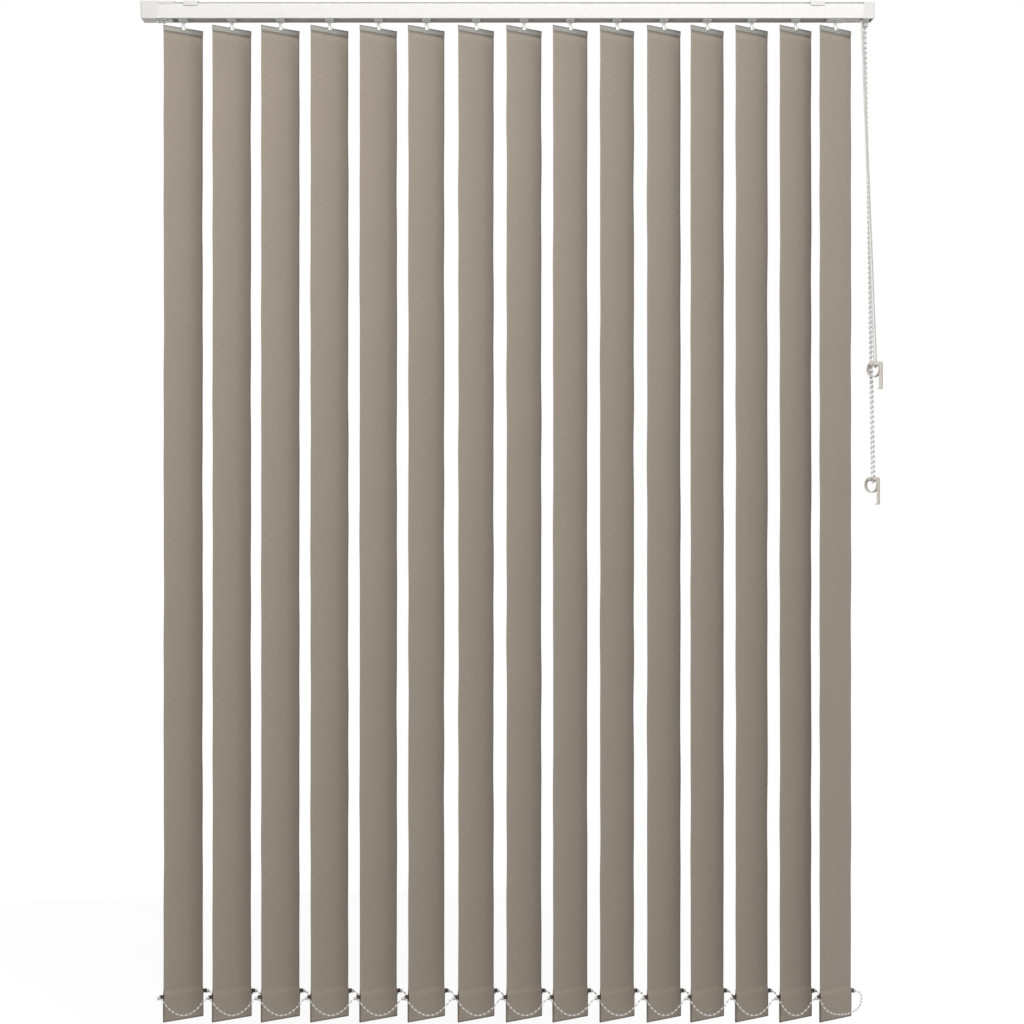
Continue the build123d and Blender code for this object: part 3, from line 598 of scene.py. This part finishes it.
# ---- The stage ----
class BLIND_OT_stage(bpy.types.Operator):
    """Sets up the camera, the soft lights and the pale floor"""

    bl_idname = "blind.stage"
    bl_label = "Stage"

    def execute(self, context):
        room = context.scene.blind_stage
        camera_data = bpy.data.cameras.new("camera")
        camera_data.sensor_width = 36
        camera_data.lens = room.lens
        camera_data.shift_x = 0.0044
        camera_data.shift_y = 0.0114
        camera = bpy.data.objects.new("camera", camera_data)
        camera.location = (0, -room.camera_distance, room.camera_height)
        camera.rotation_euler = (pi / 2, 0, 0)
        context.scene.collection.objects.link(camera)
        context.scene.camera = camera
        context.scene.view_settings.view_transform = "Standard"

        key_data = bpy.data.lights.new("key_light", "AREA")
        key_data.energy = room.key_power
        key_data.shape = "RECTANGLE"
        key_data.size, key_data.size_y = 3.0, 1.0
        daylight_data = bpy.data.lights.new("daylight", "SUN")
        daylight_data.energy = room.sun
        daylight_data.angle = radians(28)
        for light_data, place, aim in ((key_data, (0.3, -2.0, 0.75), (0.3, 0.0, -0.25)),
                                       (daylight_data, (0.4, -3.6, 1.6), (0.0, 0.0, 0.0))):
            light = bpy.data.objects.new(light_data.name, light_data)
            light.location = place
            light.rotation_euler = (Vector(aim) - Vector(place)).to_track_quat("-Z", "Y").to_euler()
            context.scene.collection.objects.link(light)

        reach, edge = 3.0, 64
        rim = [(reach * cos(tau * k / edge), reach * sin(tau * k / edge), room.floor_height)
               for k in range(edge)]
        mesh = bpy.data.meshes.new("floor")
        mesh.from_pydata(rim, [], [tuple(range(edge))])
        floor = bpy.data.objects.new("floor", mesh)
        finish, tree, shader = new_finish("pale_floor", (0.38, 0.38, 0.38), 0.8)
        shader.inputs["Emission Color"].default_value = (1, 1, 1, 1)
        tone = mixed(tree, grain(tree, 3), (0.37, 0.37, 0.37, 1), (0.39, 0.39, 0.39, 1))
        tree.links.new(tone, shader.inputs["Base Color"])
        paths = node(tree, "LightPath")
        glow = ranged(tree, paths.outputs["Is Camera Ray"], 0.0, 1.0, 0.2, 0.78)
        tree.links.new(glow, shader.inputs["Emission Strength"])
        mesh.materials.append(finish)
        context.scene.collection.objects.link(floor)

        world = bpy.data.worlds.new("studio_air")
        world.use_nodes = True
        context.scene.world = world
        tree = world.node_tree
        output = tree.nodes["World Output"]
        lit = tree.nodes["Background"]
        lit.inputs["Color"].default_value = (1, 1, 1, 1)
        lit.inputs["Strength"].default_value = room.air
        seen = node(tree, "Background", Strength=1.0)
        seen.inputs["Color"].default_value = (1, 1, 1, 1)
        paths, both = node(tree, "LightPath"), node(tree, "MixShader")
        tree.links.new(paths.outputs["Is Camera Ray"], both.inputs[0])
        tree.links.new(lit.outputs[0], both.inputs[1])
        tree.links.new(seen.outputs[0], both.inputs[2])
        tree.links.new(both.outputs[0], output.inputs["Surface"])
        return {"FINISHED"}


# ---- The cords and chains ----
class BLIND_OT_draw_cord(bpy.types.Operator):
    """Makes the draw cord: its run inside the rail and the loop that hangs from the right end"""

    bl_idname = "blind.draw_cord"
    bl_label = "Draw cord"

    def execute(self, context):
        look = context.scene.blind_cord
        rail_run = [(0.5983, -0.0115, -0.0075), (-0.58, -0.0115, -0.0075),
                    (-0.5945, -0.0115, -0.0075), (-0.5945, -0.0025, -0.0075),
                    (-0.58, -0.0025, -0.0075), (0.5983, -0.0025, -0.0075)]
        loop = [(0.5986, -0.0115, -0.0075), (0.6066, -0.0115, -0.0075), (0.6066, -0.0115, -0.025),
                (0.6067, -0.0186, -0.04), (0.60732, -0.01863, -0.05659),
                (0.62796, -0.01951, -0.61281), (0.62849, -0.01953, -0.6272),
                (0.63368, -0.00916, -0.6272), (0.6331, -0.00914, -0.6128),
                (0.61102, -0.00852, -0.0642), (0.6102, -0.0085, -0.044),
                (0.6066, -0.0025, -0.025), (0.6066, -0.0025, -0.0075), (0.5986, -0.0025, -0.0075)]
        for name, route, exit_point in (("draw_cord_run", rail_run, rail_run[0]),
                                        ("draw_cord_loop", loop, loop[0])):
            line = line_through(route)
            smooth = [place for place, _ in evenly(line, 0.0022)] + [line[-1]]
            points, faces, uvs = [], [], []
            add_tube(smooth, look.diameter / 2, look.sides, points, faces, uvs)
            piece = new_piece(name, points, faces, "braid", "root", uvs=uvs)
            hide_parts("draw_cord")
            length_of(smooth)
        return {"FINISHED"}


class BLIND_OT_tilt_chain(bpy.types.Operator):
    """Makes the bead chain that turns the vanes"""

    bl_idname = "blind.tilt_chain"
    bl_label = "Tilt chain"

    def execute(self, context):
        look = context.scene.blind_chains
        route = [(0.616, 0.00935, -0.007), (0.616, 0.0015, -0.007), (0.616, 0.0015, -0.044),
                 (0.62703, 0.00262, -0.79775), (0.62743, 0.00266, -0.82475),
                 (0.63294, 0.01366, -0.82475), (0.63235, 0.01379, -0.79775),
                 (0.616, 0.0175, -0.044), (0.616, 0.0175, -0.007), (0.616, 0.00965, -0.007)]
        line = line_through(route)
        piece = bead_string("tilt_chain", line, look.tilt_pitch, look.tilt_bead, look.thread,
                            14, 9, "root", finish="tilt_beads")
        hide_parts("bead_chain")
        length_of(line)
        return {"FINISHED"}


def eye_of(stem, side, tilt):
    """The eye of the clip at one edge of a vane; side is -1 near and 1 far."""
    reach = side * CLIP_REACH
    return Vector((stem + reach * cos(tilt), reach * sin(tilt), CLIP_HEIGHT))


class BLIND_OT_stabilisers(bpy.types.Operator):
    """Makes the bead chains along the bottom of the vanes, and the loop round the last vane"""

    bl_idname = "blind.stabilisers"
    bl_label = "Stabilising chains"

    def execute(self, context):
        look, tilt = context.scene.blind_chains, context.scene.blind_cloth.tilt
        for side, name, node_name, body in (
                (NEAR, "near_stabiliser", "front_chain", "front_stabiliser"),
                (FAR, "far_stabiliser", "rear_chain", "rear_stabiliser")):
            eyes = [eye_of(stem, side, tilt) for stem in STEMS]
            route, half_clip = [eyes[0]], Vector((CLIP_HALF_LENGTH, 0, 0))
            for left, right in zip(eyes, eyes[1:]):
                start, end = left + half_clip, right - half_clip
                route.append(start)
                for share, drop in ((0.16, 0.6), (0.38, 1), (0.62, 1), (0.84, 0.6)):
                    route.append(start.lerp(end, share) - Vector((0, 0, drop * look.sag)))
                route.append(end)
            route.append(eyes[-1])
            line = line_through(route)
            piece = bead_string(name, line, look.small_pitch, look.small_bead, look.thread,
                                10, 7, body, start=0.0028)
            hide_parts(node_name)
            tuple(route[0])
            length_of(line)
            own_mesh(piece)
        end = STEMS[-1]
        near, far = eye_of(end, NEAR, tilt), eye_of(end, FAR, tilt)
        route = [near + Vector((0.0023, 0, 0)), near + Vector((0.006, 0, -0.0006)),
                 (end - 0.022, -0.042, -1.726), (end - 0.002, -0.035, -1.735),
                 (end + 0.022, -0.016, -1.736), (end + 0.042, 0.008, -1.730),
                 (end + 0.049, 0.027, -1.716), (end + 0.047, 0.039, -1.7065),
                 far + Vector((0.0023, 0, 0))]
        line = line_through(route)
        piece = bead_string("end_loop", line, look.small_pitch, look.small_bead, look.thread,
                            10, 7, "vane_15", start=0.005)
        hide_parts("end_chain")
        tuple(route[0])
        length_of(line)
        return {"FINISHED"}


# ---- The vanes ----
def cloth_profile(look, top, bottom):
    """Stations down one layer of cloth, round the pocket and up to its weld:
    (offset across, height, share of the bow)."""
    pocket_top = bottom + look.pocket_height
    seam = pocket_top + 0.0045
    stations = []
    rows = 84
    drop_start = seam + 0.004
    for i in range(rows + 1):
        height = top + (drop_start - top) * i / rows
        share = min(1.0, (top - height) / 0.12) * min(1.0, (height - drop_start) / 0.25 + 0.15)
        stations.append((0.0, height, share))
    half = 0.00158
    for offset, height in ((0.00002, seam + 0.0022), (0.00016, seam + 0.0008),
                           (0.00018, seam), (0.0001, seam - 0.0008), (-0.0002, seam - 0.0022),
                           (-0.0004, seam - 0.0048), (-0.0012, seam - 0.0068)):
        stations.append((offset, height, 0.15))
    front = [seam - 0.0075 + (bottom + half + 0.0003 - seam + 0.0075) * i / 12 for i in range(13)]
    stations += [(-half, height, 0.15 * (1 - i / 12)) for i, height in enumerate(front)]
    turn = 8
    low = bottom + half + 0.0003
    for i in range(1, turn):
        angle = pi * i / turn
        stations.append((-half * cos(angle), low - half * sin(angle), 0.0))
    stations += [(half, height, 0.0) for height in reversed(front)]
    for offset, height in ((0.0013, seam - 0.0068), (0.0009, seam - 0.0056),
                           (0.0006, seam - 0.0022), (0.00052, seam - 0.0008),
                           (0.00055, seam), (0.00052, seam + 0.001), (0.0005, seam + 0.002)):
        stations.append((offset, height, 0.1))
    return stations


class BLIND_OT_cloth(bpy.types.Operator):
    """Makes the fifteen cloth vanes, each with its pocket"""

    bl_idname = "blind.cloth"
    bl_label = "Cloth vanes"

    def execute(self, context):
        look = context.scene.blind_cloth
        rng = random.Random(15)
        along = Vector((cos(look.tilt), sin(look.tilt), 0))
        across = Vector((-sin(look.tilt), cos(look.tilt), 0))
        columns = 24
        for number, (node_name, stem) in enumerate(zip(VANES, STEMS), 1):
            low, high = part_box(node_name)
            stations = cloth_profile(look, high.z, low.z)
            ripple = [(rng.uniform(0.5, 1.3), rng.uniform(0, tau), rng.uniform(-1, 1))
                      for _ in range(3)]
            lean = rng.uniform(-0.0007, 0.0007)
            bow = look.bow * rng.uniform(0.75, 1.25)
            points, uvs, faces = [], [], []
            travelled = 0.0
            for i, (offset, height, share) in enumerate(stations):
                if i:
                    before = stations[i - 1]
                    travelled += ((offset - before[0]) ** 2 + (height - before[1]) ** 2) ** 0.5
                for k in range(columns + 1):
                    part = 2 * k / columns - 1
                    wave = sum(size * sin(height * 14 * (j + 1) + phase + side * part)
                               for j, (size, phase, side) in enumerate(ripple))
                    out = offset - share * bow * (1 - part ** 2)
                    out += share * (0.00022 * wave * (0.35 + abs(part)) + lean * part)
                    place = along * (part * CLOTH_WIDTH / 2) + across * out
                    points.append((stem + place.x, place.y, height))
                    uvs.append((part * CLOTH_WIDTH / 2, travelled))
            row = columns + 1
            for i in range(len(stations) - 1):
                for k in range(columns):
                    corner = i * row + k
                    faces.append((corner, corner + 1, corner + row + 1, corner + row))
            piece = new_piece(f"vane_cloth_{number:02d}", points, faces, "cloth",
                              f"vane_{number:02d}", uvs=uvs)
            solid = piece.modifiers.new("cloth_thickness", "SOLIDIFY")
            solid.thickness = look.thickness
            solid.offset = 0
            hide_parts(node_name)
        return {"FINISHED"}


class BLIND_OT_fittings(bpy.types.Operator):
    """Finishes each vane's stem, clear hanger, weight and clips"""

    bl_idname = "blind.fittings"
    bl_label = "Vane fittings"

    def execute(self, context):
        tilt = context.scene.blind_cloth.tilt
        along = Vector((cos(tilt), sin(tilt), 0))
        across = Vector((-sin(tilt), cos(tilt), 0))
        for number, stem in enumerate(STEMS, 1):
            def choose(place):
                local = place - Vector((stem, 0, 0))
                reach, thick = abs(local.dot(along)), abs(local.dot(across))
                if place.z > HANGER_TOP:
                    return 0
                if place.z > HANGER_FLOOR:
                    pin = reach < 0.00235 and abs(place.z + 0.0451) < 0.001
                    yoke = thick > 0.00095 and reach < 0.0043
                    return 0 if pin or yoke else 1
                return 3 if reach > 0.0527 else 2

            dress(f"vane_fittings_{number:02d}", "plastic", "clear", "weight", "clip",
                  choose=choose)
        return {"FINISHED"}


# ---- The rail and what is in it ----
def keeper_wire():
    """The twisted wire under the left end: two strands round one line."""
    start, length, sag = Vector((-0.6015, -0.0185, -0.0338)), 0.0255, 0.0018
    steps, turns, widest, flattened, radius = 72, 1.5, 0.0029, 0.6, 0.00075
    points, faces, uvs = [], [], []
    for first_angle in (0, pi):
        strand = []
        for i in range(steps + 1):
            part = i / steps
            angle = first_angle + turns * tau * part
            swell = widest * sin(pi * min(1, 0.12 + part * 0.88))
            strand.append(start + Vector((length * part, swell * flattened * cos(angle),
                                          swell * sin(angle) - sag * sin(pi * part))))
        add_tube(strand, radius, 8, points, faces, uvs)
    new_piece("keeper_wire", points, faces, "wire", "root", uvs=uvs)


class BLIND_OT_headrail(bpy.types.Operator):
    """Finishes the rail, its two ends and its brackets"""

    bl_idname = "blind.headrail"
    bl_label = "Headrail"

    def execute(self, context):
        low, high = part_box("headrail")

        def choose(place):
            within = low.y + SKIN < place.y < high.y - SKIN
            under = place.z < low.z + 2 * SKIN
            inside = place.z < high.z - 2 * SKIN and low.x + SKIN < place.x < high.x - SKIN
            return 1 if within and (under or inside) else 0

        # Faces inside and under the rail and its ends take the paler underside colour: painted
        # light on faces that sit in shade.
        dress("headrail", "enamel", "underside", choose=choose)
        dress("mounting_brackets", "cap")
        dress("control_end", "cap", "underside", choose=choose)
        dress("idler_end", "cap", "underside", choose=choose)
        keeper_wire()
        return {"FINISHED"}


class BLIND_OT_carriers(bpy.types.Operator):
    """Finishes the carriers, their rollers and worms"""

    bl_idname = "blind.carriers"
    bl_label = "Carriers"

    def execute(self, context):
        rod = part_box("tilt_rod")
        axis = Vector((0, ROD_Y, (rod[0].z + rod[1].z) / 2))

        def choose(place):
            return 1 if (place - axis).yz.length < WORM_RADIUS else 0

        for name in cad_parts:
            if "carrier" in name:
                dress(name, "plastic", "worm", choose=choose)
        return {"FINISHED"}


class BLIND_OT_drive(bpy.types.Operator):
    """Finishes the tilt rod, its chain wheel and the pulleys"""

    bl_idname = "blind.drive"
    bl_label = "Rod and pulleys"

    def execute(self, context):
        dress("tilt_rod", "metal", "worm",
              choose=lambda place: 1 if place.x > CHAIN_WHEEL_START else 0)
        for name in ("front_cord_pulley", "rear_cord_pulley", "idler_pulley"):
            dress(name, "worm")
        return {"FINISHED"}


class BLIND_OT_tensioners(bpy.types.Operator):
    """Finishes the two safety tensioners"""

    bl_idname = "blind.tensioners"
    bl_label = "Tensioners"

    def execute(self, context):
        dress("cord_tensioner", "cream")
        dress("chain_tensioner", "cream")
        return {"FINISHED"}


class BLIND_PT_pieces(bpy.types.Panel):
    """Lists the settings and the pieces"""

    bl_idname = "BLIND_PT_pieces"
    bl_label = "Vertical blind"
    bl_space_type = "VIEW_3D"
    bl_region_type = "UI"
    bl_category = "Blind"

    def draw(self, context):
        for group, kind in SETTINGS.items():
            box = self.layout.box()
            box.label(text=kind.__doc__)
            for name in kind.__annotations__:
                box.prop(getattr(context.scene, group), name)
        for operator in PIECES:
            self.layout.operator(operator.bl_idname)


SETTINGS = {
    "blind_stage": BlindStage,
    "blind_cloth": BlindCloth,
    "blind_chains": BlindChains,
    "blind_cord": BlindCord,
    "blind_finishes": BlindFinishes,
}
PIECES = (BLIND_OT_stage, BLIND_OT_draw_cord, BLIND_OT_tilt_chain, BLIND_OT_stabilisers,
          BLIND_OT_cloth, BLIND_OT_fittings, BLIND_OT_headrail, BLIND_OT_carriers,
          BLIND_OT_drive, BLIND_OT_tensioners)


def register():
    for kind in (*SETTINGS.values(), *PIECES, BLIND_PT_pieces):
        bpy.utils.register_class(kind)
    for group, kind in SETTINGS.items():
        setattr(bpy.types.Scene, group, bpy.props.PointerProperty(type=kind))


def unregister():
    for group in SETTINGS:
        delattr(bpy.types.Scene, group)
    for kind in reversed((*SETTINGS.values(), *PIECES, BLIND_PT_pieces)):
        bpy.utils.unregister_class(kind)


def main():
    register()
    for operator in (bpy.ops.blind.stage, bpy.ops.blind.draw_cord, bpy.ops.blind.tilt_chain,
                     bpy.ops.blind.stabilisers, bpy.ops.blind.cloth, bpy.ops.blind.fittings,
                     bpy.ops.blind.headrail, bpy.ops.blind.carriers, bpy.ops.blind.drive,
                     bpy.ops.blind.tensioners):
        operator()


if __name__ == "__main__":
    main()
